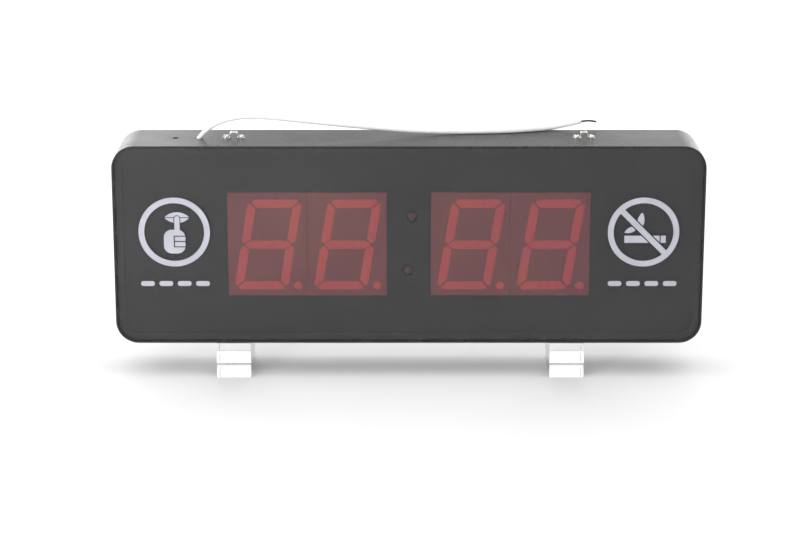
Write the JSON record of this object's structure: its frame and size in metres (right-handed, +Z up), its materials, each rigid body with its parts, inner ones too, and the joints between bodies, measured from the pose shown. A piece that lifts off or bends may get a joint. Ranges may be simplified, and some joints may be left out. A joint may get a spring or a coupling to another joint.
{
  "type": "led round timer",
  "caption": "Wide box-shaped LED clock and round timer with large seven-segment digits behind a smoked panel, hanging loops on top, a supply cable and clear feet.",
  "frame": {"origin": "on the floor under the middle of the casing: middle of its width and depth, at the underside of the feet", "axes": "+X to the right seen from the front, +Y to the back, +Z up; the display faces -Y"},
  "size_m": [0.48, 0.0703, 0.215],
  "materials": {
    "casing": "fine satin powder coat",
    "panel": "smoked, slightly hazy",
    "mask": "matte",
    "print": "screen-printed ink",
    "digit_case": "satin",
    "segment": "diffusing red resin",
    "circuit_board": "solder mask",
    "chip": "moulded",
    "capacitor": "sleeve",
    "white_plastic": "moulded",
    "black_plastic": "moulded",
    "green_plastic": "moulded",
    "steel": "bright nickel plate",
    "zinc": "zinc plate",
    "cable_jacket": "white PVC",
    "cable_core": "black insulation",
    "clear_acrylic": "polished"
  },
  "bodies": {
    "clock": {"casing": "casing", "front_panel": "panel", "panel_tape": "black_plastic", "mask_plate": "mask", "print_left": "print", "print_right": "print", "digit_1": "digit_case", "digit_2": "digit_case", "digit_3": "digit_case", "digit_4": "digit_case", "segments_1": "segment", "segments_2": "segment", "segments_3": "segment", "segments_4": "segment", "colon_lamps": "segment", "display_board": "circuit_board", "board_posts": "white_plastic", "board_screws": "zinc", "control_board": "circuit_board", "control_posts": "white_plastic", "main_chip": "chip", "driver_chips": "chip", "capacitors": "capacitor", "cell_holder": "black_plastic", "clock_cell": "zinc", "buzzer": "black_plastic", "ribbon": "white_plastic", "ribbon_plugs": "white_plastic", "power_module": "black_plastic", "terminal_block": "green_plastic", "inner_lead": "cable_jacket", "cable_clamp": "black_plastic", "back_cover": "casing", "cover_screws": "zinc", "hanger_left": "steel", "hanger_right": "steel", "hanger_screws": "steel", "hanger_nuts": "zinc", "switch_body": "zinc", "switch_holder": "black_plastic", "switch_board": "circuit_board", "cable": "cable_jacket", "cable_core": "cable_core", "foot_left_lower": "clear_acrylic", "foot_left_upper": "clear_acrylic", "foot_right_lower": "clear_acrylic", "foot_right_upper": "clear_acrylic"},
    "button": {"set_button": "black_plastic"}
  },
  "joints": [
    {"name": "set_press", "type": "slide", "parent": "clock", "child": "button", "axis": [0, 0, -1], "range_m": [0, 0.0008], "stiffness_N_per_m": 400}
  ]
}
